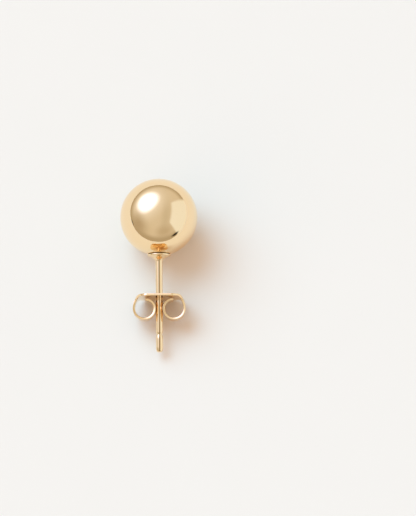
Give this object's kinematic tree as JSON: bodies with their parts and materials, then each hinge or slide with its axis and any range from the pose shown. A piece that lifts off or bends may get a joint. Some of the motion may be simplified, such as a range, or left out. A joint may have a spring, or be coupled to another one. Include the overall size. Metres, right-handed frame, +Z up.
{
  "type": "ball stud earring",
  "caption": "Polished gold ball stud earring: a hollow ball seated in a flared cup on a straight grooved post, held behind the ear by a sliding butterfly clutch.",
  "frame": {"origin": "on the surface it lies on, under the middle of its box", "axes": "+Z up from the surface, +Y from the tip of the post towards the ball, +X across the clutch"},
  "size_m": [0.008, 0.0176, 0.008],
  "materials": {
    "polished_gold": "mirror polished pale gold",
    "drawn_gold": "drawn and polished gold wire",
    "stamped_gold": "stamped and tumbled gold strip"
  },
  "bodies": {
    "clutch": {"clutch": "stamped_gold"},
    "stud": {"ball": "polished_gold", "post": "drawn_gold"}
  },
  "joints": [
    {"name": "clutch_slide", "type": "slide", "parent": "clutch", "child": "stud", "axis": [0, 0.9767, 0.2146], "range_m": [-0.0035, 0.0062]}
  ]
}
